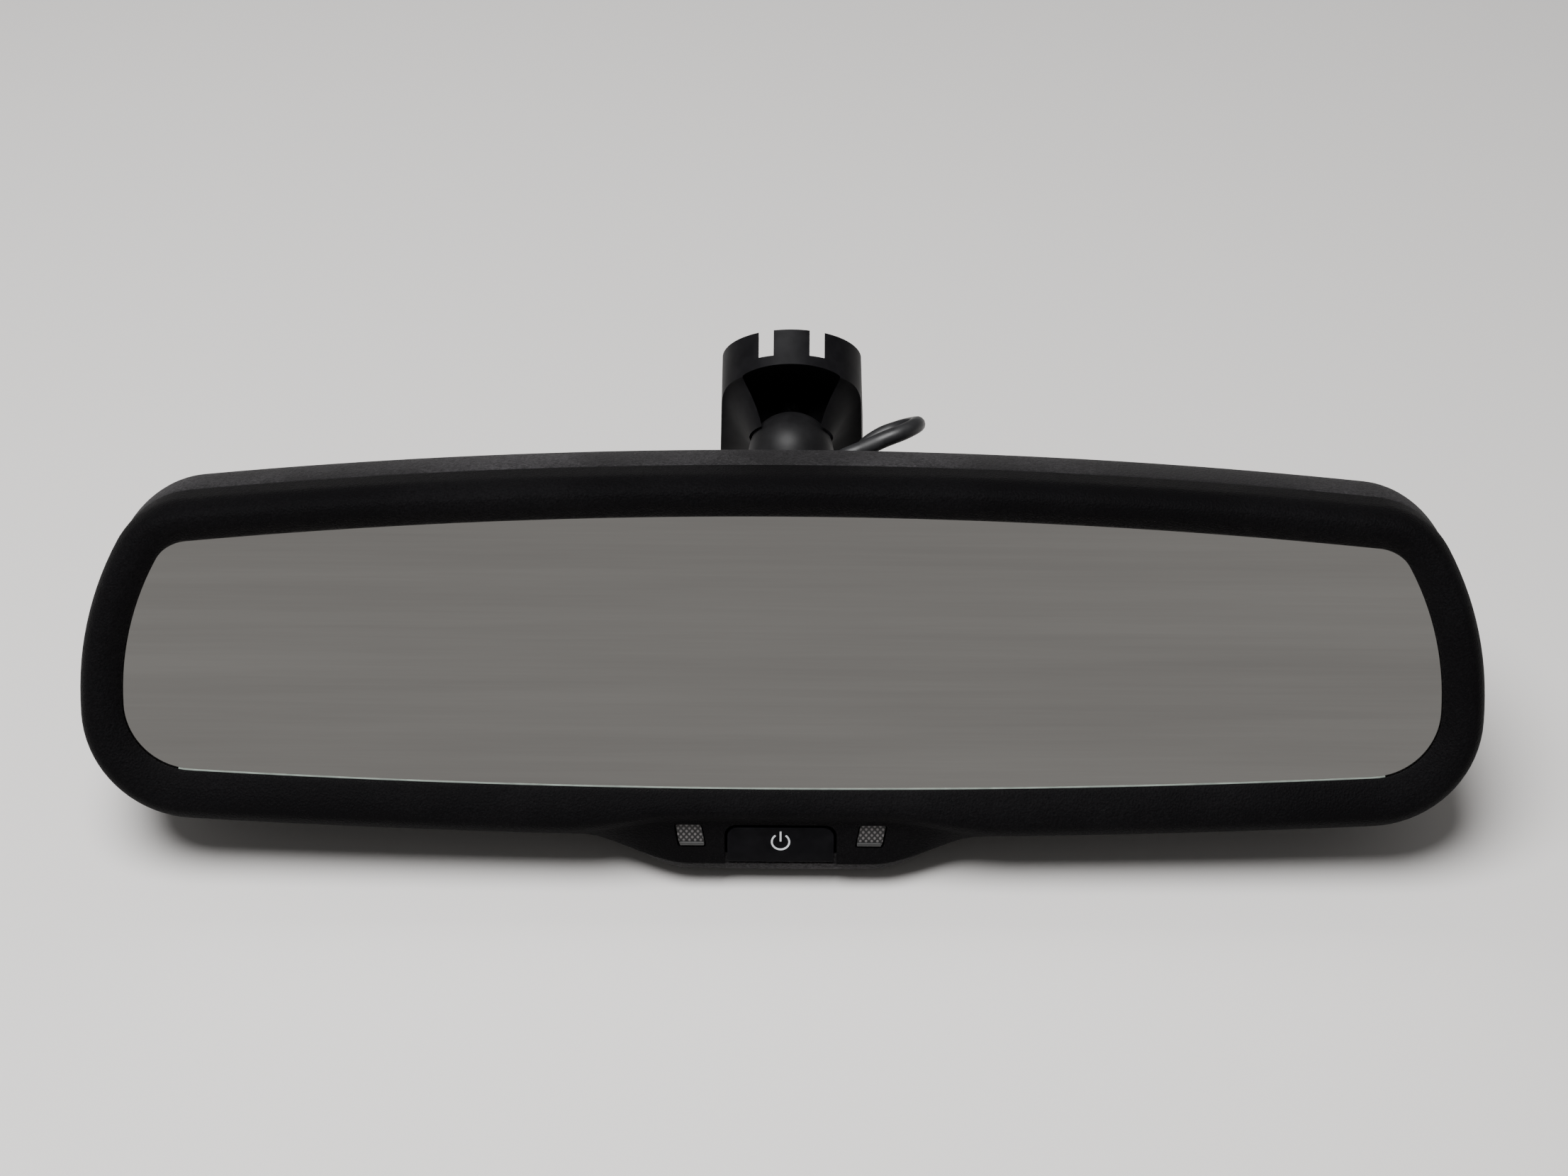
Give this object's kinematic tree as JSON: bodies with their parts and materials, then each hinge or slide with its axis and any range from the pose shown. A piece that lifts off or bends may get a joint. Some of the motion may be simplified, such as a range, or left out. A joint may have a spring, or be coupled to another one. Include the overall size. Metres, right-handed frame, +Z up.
{
  "type": "interior rearview mirror",
  "caption": "Interior rearview mirror with a self-dimming glass, a power button and sensor windows in its chin, a two-ball arm and a windshield foot.",
  "frame": {"origin": "on the table under the middle of the mirror's box, without its cable", "axes": "+X to the viewer's right along the glass, +Y from the viewer to the windshield side, +Z up; the glass leans back 25.5 degrees"},
  "size_m": [0.2598, 0.1251, 0.0734],
  "materials": {
    "bezel_black": "fine moulded grain",
    "housing_black": "coarser moulded grain",
    "inner_plastic": "moulded",
    "button_black": "satin",
    "smoked_lens": "translucent, cross-hatched",
    "mirror_glass": "polished",
    "epoxy_seal": "cured bead",
    "foam_tape": "open-cell foam",
    "spring_steel": "bright",
    "board_green": "solder mask",
    "chip_black": "moulded epoxy",
    "led_white": "diffusing",
    "connector_grey": "moulded nylon",
    "rubber_black": "matt",
    "cable_black": "smooth PVC jacket",
    "tie_black": "nylon",
    "plated_steel": "zinc plated",
    "black_oxide": "black oxide over steel",
    "screw_zinc": "zinc plated",
    "arm_black": "satin black",
    "nylon_natural": "natural nylon",
    "foot_black": "satin moulded",
    "cast_zinc": "die-cast zinc"
  },
  "bodies": {
    "mirror_head": {"bezel": "bezel_black", "indicator_lens": "smoked_lens", "glare_sensor_lens": "smoked_lens", "front_glass": "mirror_glass", "rear_glass": "mirror_glass", "perimeter_seal": "epoxy_seal", "foam_tape": "foam_tape", "upper_bus_clip": "spring_steel", "lower_bus_clip": "spring_steel", "carrier_plate": "inner_plastic", "circuit_board": "board_green", "board_screw_1": "screw_zinc", "board_screw_2": "screw_zinc", "board_screw_3": "screw_zinc", "board_screw_4": "screw_zinc", "control_chip": "chip_black", "power_driver": "chip_black", "capacitor_1": "chip_black", "capacitor_2": "chip_black", "indicator_led": "led_white", "glare_sensor": "chip_black", "ambient_sensor": "chip_black", "tact_switch": "chip_black", "board_socket": "connector_grey", "inner_lead": "cable_black", "rear_housing": "housing_black", "case_screw_1": "screw_zinc", "case_screw_2": "screw_zinc", "ambient_lens": "smoked_lens", "arm_well": "inner_plastic", "cable_grommet": "rubber_black", "stud_bracket": "plated_steel", "bracket_screw_1": "screw_zinc", "bracket_screw_2": "screw_zinc", "bracket_screw_3": "screw_zinc", "bracket_screw_4": "screw_zinc", "lower_ball_stud": "black_oxide", "cable_run": "cable_black", "cable_coil": "cable_black", "cable_tail": "cable_black", "cable_tie": "tie_black", "harness_plug": "connector_grey"},
    "button": {"power_button": "button_black", "switch_plunger": "connector_grey"},
    "lower_ball_seat": {"lower_ball_liner": "nylon_natural"},
    "arm": {"arm_tube": "arm_black", "arm_spring": "spring_steel"},
    "upper_ball_seat": {"upper_ball_liner": "nylon_natural"},
    "windshield_foot": {"upper_ball_stud": "black_oxide", "foot_cover": "foot_black", "foot_base": "cast_zinc", "set_screw": "screw_zinc", "foot_screw_1": "screw_zinc", "foot_screw_2": "screw_zinc"}
  },
  "joints": [
    {"name": "power_press", "type": "slide", "parent": "mirror_head", "child": "button", "axis": [0, 0.9026, -0.4305], "range_m": [0, 0.0006], "stiffness_N_per_m": 2500},
    {"name": "lower_ball_tilt", "type": "hinge", "parent": "mirror_head", "child": "lower_ball_seat", "pos_m": [0, -0.01162, 0.03668], "axis": [1, 0, 0], "range_deg": [-12, 12]},
    {"name": "lower_ball_swing", "type": "hinge", "parent": "lower_ball_seat", "child": "arm", "pos_m": [0, -0.01162, 0.03668], "axis": [0, -0.1229, 0.9924], "range_deg": [-12, 12]},
    {"name": "upper_ball_tilt", "type": "hinge", "parent": "arm", "child": "upper_ball_seat", "pos_m": [0.0013, 0.019, 0.04047], "axis": [1, 0, 0], "range_deg": [-12, 12]},
    {"name": "upper_ball_swing", "type": "hinge", "parent": "upper_ball_seat", "child": "windshield_foot", "pos_m": [0.0013, 0.019, 0.04047], "axis": [0, -0.1229, 0.9924], "range_deg": [-12, 12]}
  ]
}
